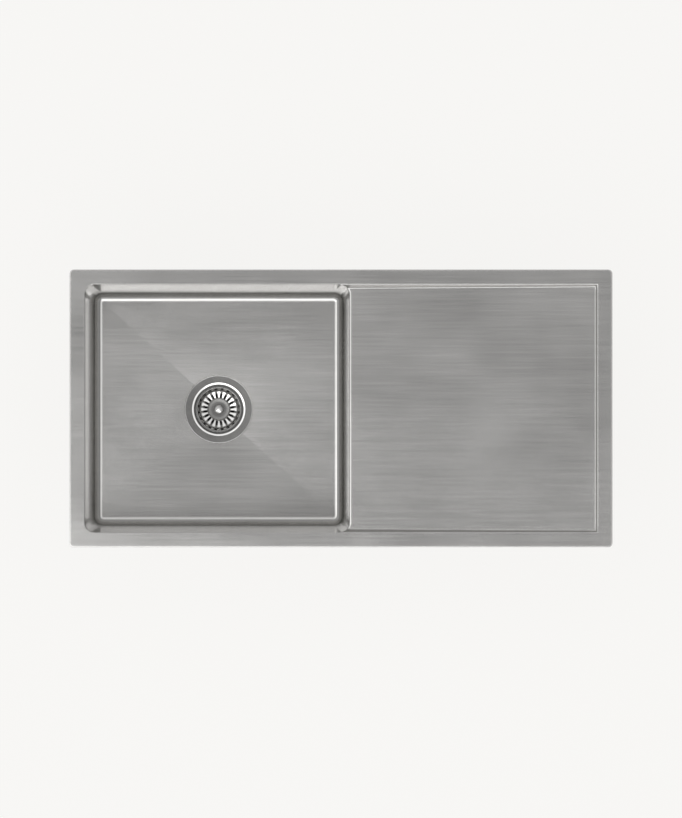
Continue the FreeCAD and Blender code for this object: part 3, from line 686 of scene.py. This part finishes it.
def build_basket():
    """Thin pressed cup whose slots run from its floor round the bend and up its wall."""
    bm = bmesh.new()
    rows = basket_rows()
    wall = BASKET_FOOT - BASKET_SHEET
    grid = []
    pitch = 2 * math.pi / SLOTS
    for r, z, half, _ in rows:
        slot, guard = math.asin(half / r), math.asin(min(SLOT_GUARD_ANGLE, SLOT_GUARD / r))
        land = pitch - 2 * guard
        angles = [-guard, -slot, slot, guard]
        angles += [guard + land * k / LAND_PARTS for k in range(1, LAND_PARTS)]
        ring = []
        for s in range(SLOTS):
            for a in angles:
                t = pitch * (s + 0.5) + a
                ring.append(bm.verts.new((DRAIN_X + r * math.cos(t), r * math.sin(t), z)))
        grid.append(ring)
    for i in range(len(rows) - 1):
        for k in range(len(grid[i])):
            if rows[i][3] and k % len(angles) == 1:
                continue
            j = (k + 1) % len(grid[i])
            face = bm.faces.new((grid[i][k], grid[i + 1][k], grid[i + 1][j], grid[i][j]))
            # the basket's lower bend gets the dark steel as painted shade
            if rows[i][0] > wall and rows[i + 1][1] < basket_low + BASKET_SHEET + WALL_SLOT_RISE:
                face.material_index = PAINTED_SHADE
            # the basket's rim gets the satin steel, its dark colour partly a painted reflection
            elif rows[i][0] > BASKET_MOUTH:
                face.material_index = SATIN_PAINTED_REFLECTION
    cup = new_object("slotted_basket", bm, sharp=50.0, turned_right=True)
    solid = cup.modifiers.new("sheet", "SOLIDIFY")
    solid.thickness = BASKET_SHEET * MM
    solid.offset = -1
    return cup


DISC_RADIUS = 18.6
DISC_SHEET = 0.8
DISC_CREST = 1.9
DISC_DISH = ((6.0, 0.0, 12.0), (12.0, 0.18, 14.0))
DISC_EDGE_WIDTH = 2.0
DISC_EDGE_RISE = 0.52
DISC_ROLL = 1.1
DISC_HOLE_MARGIN = 2.0


def build_disc():
    """Dished cover disc with a rolled edge."""
    floor = basket_low + BASKET_SHEET
    low = bush_high
    crest = floor + DISC_CREST
    bore = bush_radius - DISC_HOLE_MARGIN
    outline = [(bore, low)]
    outline += [(r, low + rise, blend) for r, rise, blend in DISC_DISH]
    outline += [(DISC_RADIUS - DISC_EDGE_WIDTH, low + DISC_EDGE_RISE, 1.0),
                (DISC_RADIUS - DISC_ROLL, crest + 0.5, 0.6), (DISC_RADIUS, crest - 0.3, 0.5),
                (DISC_RADIUS, floor), (DISC_RADIUS - DISC_SHEET, floor),
                (DISC_RADIUS - 1.5 * DISC_SHEET, low - 0.3), (7.0, low - DISC_SHEET),
                (bore, low - DISC_SHEET)]
    return lathe("dished_disc", outline)


KNOB_TIP = 1.6
KNOB_TIP_CURVE = ((0.75, 0.56), (0.5, 0.25), (0.25, 0.06), (0.0, 0.0))
KNOB_CROWN_SLOPE = math.radians(15)
KNOB_SHOULDER = 1.6
KNOB_FLARE = 1.2
KNOB_FLARE_RISE = 2.0
KNOB_BEND = 1.5


def build_knob():
    """Polished knob: a low conical crown with a round tip and shoulder, on a short flared neck."""
    neck = knob_radius / 2
    fall = math.tan(KNOB_CROWN_SLOPE)
    tip_fall = KNOB_TIP * fall / 2
    flared = neck + KNOB_FLARE
    outline = [(0.0, knob_low + 0.2), (flared, knob_low), (flared, knob_low + 0.5, 0.2),
               (neck, knob_low + KNOB_FLARE_RISE, KNOB_FLARE),
               (neck, knob_high - 1.6 * knob_radius, KNOB_BEND),
               (knob_radius, knob_high - 1.2 * knob_radius, KNOB_BEND),
               (knob_radius, knob_high - tip_fall - (knob_radius - KNOB_TIP) * fall, KNOB_SHOULDER),
               (KNOB_TIP, knob_high - tip_fall)]
    outline += [(KNOB_TIP * out, knob_high - tip_fall * down) for out, down in KNOB_TIP_CURVE]
    return lathe("ball_knob", outline, closed=False, segments=64)


# ---------------------------------------------------------------- node materials
def material(name):
    mat = bpy.data.materials.new(name)
    mat.use_nodes = True
    tree = mat.node_tree
    return mat, tree, tree.nodes["Principled BSDF"]


def add(tree, kind, **values):
    node = tree.nodes.new(kind)
    for key, value in values.items():
        setattr(node, key, value)
    return node


def ramp(tree, source, low, high, start=0.3, end=0.7):
    """Maps a factor onto a grey or colour range."""
    node = tree.nodes.new("ShaderNodeValToRGB")
    node.color_ramp.elements[0].position = start
    node.color_ramp.elements[1].position = end
    for element, value in zip(node.color_ramp.elements, (low, high)):
        element.color = (value, value, value, 1) if isinstance(value, float) else (*value, 1)
    tree.links.new(source, node.inputs["Fac"])
    return node.outputs["Color"]


def grain_noise(tree, coordinates, scale, detail=3.0):
    mapping = tree.nodes.new("ShaderNodeMapping")
    mapping.inputs["Scale"].default_value = scale
    tree.links.new(coordinates, mapping.inputs["Vector"])
    noise = tree.nodes.new("ShaderNodeTexNoise")
    noise.inputs["Scale"].default_value = 1.0
    noise.inputs["Detail"].default_value = detail
    tree.links.new(mapping.outputs["Vector"], noise.inputs["Vector"])
    return noise.outputs["Fac"]


FINE_GRAIN = (9.0, 1100.0, 1.0)
COARSE_GRAIN = (4.0, 240.0, 1.0)
STEEL_CLOUD = (6.0, 9.0, 9.0)
GRAIN_ALONG_U = 0.25


def brushed_steel(name, colour, dark, rough_low, rough_high, anisotropy):
    """Stainless sheet with its grain along U of the uv map."""
    mat, tree, shader = material(name)
    uv = add(tree, "ShaderNodeUVMap", uv_map="grain")
    tangent = add(tree, "ShaderNodeTangent", direction_type="UV_MAP", uv_map="grain")
    fine = grain_noise(tree, uv.outputs["UV"], FINE_GRAIN, 4.0)
    coarse = grain_noise(tree, uv.outputs["UV"], COARSE_GRAIN)
    place = add(tree, "ShaderNodeTexCoord")
    cloud = grain_noise(tree, place.outputs["Object"], STEEL_CLOUD)
    tree.links.new(ramp(tree, fine, dark, colour, 0.25, 0.7), shader.inputs["Base Color"])
    mix = add(tree, "ShaderNodeMath", operation="MULTIPLY_ADD")
    tree.links.new(coarse, mix.inputs[0])
    mix.inputs[1].default_value = 0.6
    tree.links.new(cloud, mix.inputs[2])
    tree.links.new(ramp(tree, mix.outputs[0], rough_low, rough_high, 0.5, 1.1), shader.inputs["Roughness"])
    bump = add(tree, "ShaderNodeBump")
    bump.inputs["Strength"].default_value = 0.25
    bump.inputs["Distance"].default_value = 0.00004
    tree.links.new(fine, bump.inputs["Height"])
    tree.links.new(bump.outputs["Normal"], shader.inputs["Normal"])
    tree.links.new(tangent.outputs["Tangent"], shader.inputs["Tangent"])
    shader.inputs["Metallic"].default_value = 1.0
    shader.inputs["Anisotropic"].default_value = anisotropy
    shader.inputs["Anisotropic Rotation"].default_value = GRAIN_ALONG_U
    return mat


def plain_metal(name, colour, dark, rough_low, rough_high, scale=40.0, bump_distance=0.0):
    """Metal without a grain direction: polish with faint smears, dull zinc plate, or darkened steel whose
    colour is painted shade or a painted dark reflection.
    """
    mat, tree, shader = material(name)
    place = add(tree, "ShaderNodeTexCoord")
    cloud = grain_noise(tree, place.outputs["Object"], (scale, scale, scale), 4.0)
    fleck = grain_noise(tree, place.outputs["Object"], (scale * 14, scale * 14, scale * 14), 2.0)
    tree.links.new(ramp(tree, cloud, dark, colour), shader.inputs["Base Color"])
    tree.links.new(ramp(tree, fleck, rough_low, rough_high), shader.inputs["Roughness"])
    if bump_distance:
        bump = add(tree, "ShaderNodeBump")
        bump.inputs["Strength"].default_value = 0.3
        bump.inputs["Distance"].default_value = bump_distance
        tree.links.new(fleck, bump.inputs["Height"])
        tree.links.new(bump.outputs["Normal"], shader.inputs["Normal"])
    shader.inputs["Metallic"].default_value = 1.0
    return mat


def moulded(name, colour, dark, rough_low, rough_high, scale=60.0, bump_distance=0.0001):
    """Rubber, bitumen pad or plastic with a faint moulded texture."""
    mat, tree, shader = material(name)
    place = add(tree, "ShaderNodeTexCoord")
    cloud = grain_noise(tree, place.outputs["Object"], (scale, scale, scale), 3.0)
    pore = grain_noise(tree, place.outputs["Object"], (scale * 20, scale * 20, scale * 20), 2.0)
    tree.links.new(ramp(tree, cloud, dark, colour), shader.inputs["Base Color"])
    tree.links.new(ramp(tree, pore, rough_low, rough_high), shader.inputs["Roughness"])
    bump = add(tree, "ShaderNodeBump")
    bump.inputs["Strength"].default_value = 0.35
    bump.inputs["Distance"].default_value = bump_distance
    tree.links.new(pore, bump.inputs["Height"])
    tree.links.new(bump.outputs["Normal"], shader.inputs["Normal"])
    return mat


steel_in = brushed_steel("brushed_stainless", (0.72, 0.712, 0.695), (0.62, 0.613, 0.6), 0.15, 0.19, 0.95)
steel_under = plain_metal("mill_finish_underside", (0.50, 0.50, 0.49), (0.465, 0.465, 0.457), 0.4, 0.46, 20.0)
polished = plain_metal("polished_stainless", (0.80, 0.795, 0.785), (0.75, 0.745, 0.735), 0.05, 0.09, 30.0)
# satin steel: its dark colour is partly a real satin finish, partly a painted dark reflection on the flange
# band, basket rim and disc
satin_painted_reflection = plain_metal("satin_stainless_painted_reflection", (0.38, 0.375, 0.365), (0.33, 0.327, 0.32), 0.2, 0.25, 60.0)
# dark steel: its colour is painted shade for the throat, the cup and the basket's lower bend
painted_shade_steel = plain_metal("stainless_painted_shade", (0.20, 0.20, 0.195), (0.14, 0.14, 0.137), 0.42, 0.55, 60.0)
zinc = plain_metal("zinc_plate", (0.56, 0.57, 0.58), (0.42, 0.43, 0.44), 0.32, 0.46, 90.0, 0.00002)
pad_mat = moulded("sound_pad", (0.055, 0.055, 0.058), (0.035, 0.035, 0.037), 0.75, 0.92, 25.0, 0.0004)
foam = moulded("foam_strip", (0.05, 0.05, 0.052), (0.03, 0.03, 0.032), 0.85, 0.95, 80.0, 0.0003)
rubber = moulded("black_rubber", (0.022, 0.022, 0.023), (0.015, 0.015, 0.016), 0.5, 0.65)
white_plastic = moulded("white_plastic", (0.72, 0.72, 0.70), (0.66, 0.66, 0.645), 0.38, 0.5)
grey_plastic = moulded("grey_plastic", (0.12, 0.125, 0.13), (0.09, 0.094, 0.1), 0.36, 0.48)
SLOT_MATERIALS = {"brushed_stainless": steel_under, "polished_stainless": polished,
                  "zinc_plated_steel": zinc, "sound_pad": pad_mat, "foam": foam, "black_rubber": rubber,
                  "white_plastic": white_plastic, "grey_plastic": grey_plastic}


def dress_cad_nodes():
    """Every CAD node that stays gets its slot's node material."""
    slots = {s["node"]: s["material_slot"] for s in frame["record"]["subparts"]}
    for name, obj in nodes.items():
        obj.data.materials.clear()
        obj.data.materials.append(SLOT_MATERIALS[slots[name]])


# ---------------------------------------------------------------- build
dress_cad_nodes()

shell = build_shell()
shell.data.materials.append(steel_in)
shell.data.materials.append(steel_under)
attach(shell, "sink")
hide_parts("deck_panel", "bowl")


def fit_piece(piece, node, body, slot, *mats):
    """Puts a finely drawn piece in the place of a CAD node."""
    for mat in mats:
        piece.data.materials.append(mat)
    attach(piece, body)
    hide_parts(node)


fit_piece(build_strainer(), "strainer_body", "sink", "polished_stainless", polished, satin_painted_reflection, painted_shade_steel)
fit_piece(build_basket(), "basket", "basket", "polished_stainless", polished, satin_painted_reflection, painted_shade_steel)
# the disc's dark colour is a painted reflection
fit_piece(build_disc(), "centre_disc", "basket", "polished_stainless", satin_painted_reflection)
fit_piece(build_knob(), "knob", "stopper", "polished_stainless", polished)


# ---------------------------------------------------------------- stage, light and camera
FLOOR_LEVEL = cad_box[0][2]
FLOOR_HALF = 60.0
BACKGROUND = (0.968, 0.96, 0.943)
BACKGROUND_SHARE = 0.9


def make_floor():
    """A pale floor that the camera and reflections see at its own colour, with a part left for the shadow."""
    mesh = bpy.data.meshes.new("floor")
    corners = ((-1, -1), (1, -1), (1, 1), (-1, 1))
    mesh.from_pydata([(x * FLOOR_HALF, y * FLOOR_HALF, FLOOR_LEVEL) for x, y in corners], [], [(0, 1, 2, 3)])
    floor = bpy.data.objects.new("floor", mesh)
    bpy.context.scene.collection.objects.link(floor)
    mat, tree, shader = material("pale_floor")
    shader.inputs["Base Color"].default_value = (*BACKGROUND, 1)
    shader.inputs["Roughness"].default_value = 0.9
    mesh.materials.append(mat)
    glow = add(tree, "ShaderNodeEmission")
    glow.inputs["Color"].default_value = (*BACKGROUND, 1)
    ray = add(tree, "ShaderNodeLightPath")
    seen = add(tree, "ShaderNodeMath", operation="ADD")
    seen_through = add(tree, "ShaderNodeMath", operation="ADD")
    share = add(tree, "ShaderNodeMath", operation="MULTIPLY")
    share.inputs[1].default_value = BACKGROUND_SHARE
    mix = add(tree, "ShaderNodeMixShader")
    tree.links.new(ray.outputs["Is Camera Ray"], seen.inputs[0])
    tree.links.new(ray.outputs["Is Glossy Ray"], seen.inputs[1])
    tree.links.new(seen.outputs[0], seen_through.inputs[0])
    tree.links.new(ray.outputs["Is Transmission Ray"], seen_through.inputs[1])
    tree.links.new(seen_through.outputs[0], share.inputs[0])
    tree.links.new(share.outputs[0], mix.inputs["Fac"])
    tree.links.new(shader.outputs[0], mix.inputs[1])
    tree.links.new(glow.outputs[0], mix.inputs[2])
    tree.links.new(mix.outputs[0], tree.nodes["Material Output"].inputs["Surface"])


SKY = ((0.0, 0.79), (0.1, 0.76), (0.3, 0.42), (0.7, 0.25), (0.85, 0.5), (0.925, 1.1), (0.955, 1.15),
       (0.967, 0.6), (0.99, 0.54), (0.9955, 0.15), (1.0, 0.13))
SKY_STRENGTH = 1.15
SKY_SIDE = (-0.4, -0.3, 0.0)


def make_world():
    """A pale tent, brighter to the front left, with the camera's dim opening straight overhead."""
    world = bpy.data.worlds.new("studio")
    bpy.context.scene.world = world
    world.use_nodes = True
    tree = world.node_tree
    place = add(tree, "ShaderNodeTexCoord")
    split = add(tree, "ShaderNodeSeparateXYZ")
    tree.links.new(place.outputs["Generated"], split.inputs[0])
    sky = add(tree, "ShaderNodeValToRGB")
    ramp_stops = sky.color_ramp.elements
    while len(ramp_stops) < len(SKY):
        ramp_stops.new(0.5)
    for stop, (height, value) in zip(ramp_stops, SKY):
        stop.position = height
        stop.color = (value, value, value, 1)
    tree.links.new(split.outputs["Z"], sky.inputs["Fac"])
    tree.links.new(sky.outputs["Color"], tree.nodes["Background"].inputs["Color"])
    lean = add(tree, "ShaderNodeVectorMath", operation="DOT_PRODUCT")
    lean.inputs[1].default_value = SKY_SIDE
    tree.links.new(place.outputs["Generated"], lean.inputs[0])
    level = add(tree, "ShaderNodeMath", operation="MULTIPLY")
    tree.links.new(lean.outputs["Value"], level.inputs[0])
    tree.links.new(split.outputs["Z"], level.inputs[1])
    strength = add(tree, "ShaderNodeMath", operation="MULTIPLY_ADD")
    strength.inputs[1].default_value = SKY_STRENGTH
    strength.inputs[2].default_value = SKY_STRENGTH
    tree.links.new(level.outputs[0], strength.inputs[0])
    tree.links.new(strength.outputs[0], tree.nodes["Background"].inputs["Strength"])


def area_light(name, location, target, size, power):
    data = bpy.data.lights.new(name, "AREA")
    data.shape = "RECTANGLE"
    data.size, data.size_y = size
    data.energy = power
    light = bpy.data.objects.new(name, data)
    light.location = location
    light.rotation_mode = "QUATERNION"
    light.rotation_quaternion = (Vector(target) - Vector(location)).to_track_quat("-Z", "Y")
    light.visible_camera = False
    bpy.context.scene.collection.objects.link(light)


LIGHT_PLACE = (-0.35, -0.82, 1.8)
LIGHT_SIZE = (2.2, 0.8)
LIGHT_POWER = 6.0
CAMERA_DISTANCE = 14.0
FRAME_HEIGHT = 1.2955
SENSOR = 36.0
CAMERA_OFFSET_Y = -0.09
FRAME_CENTRE_Y = -0.0009


def make_camera():
    """Straight overhead and a little towards the front, as the photograph was taken."""
    data = bpy.data.cameras.new("camera")
    data.sensor_width = SENSOR
    data.lens = SENSOR * CAMERA_DISTANCE / FRAME_HEIGHT
    data.clip_end = 100.0
    camera = bpy.data.objects.new("camera", data)
    camera.location = (0.0, CAMERA_OFFSET_Y, TOP * MM + CAMERA_DISTANCE)
    camera.rotation_euler.x = math.atan2(FRAME_CENTRE_Y - CAMERA_OFFSET_Y, CAMERA_DISTANCE)
    bpy.context.scene.collection.objects.link(camera)
    bpy.context.scene.camera = camera


make_floor()
make_world()
area_light("soft_overhead", LIGHT_PLACE, (0, 0, 0), LIGHT_SIZE, LIGHT_POWER)
make_camera()
bpy.context.scene.view_settings.view_transform = "Standard"
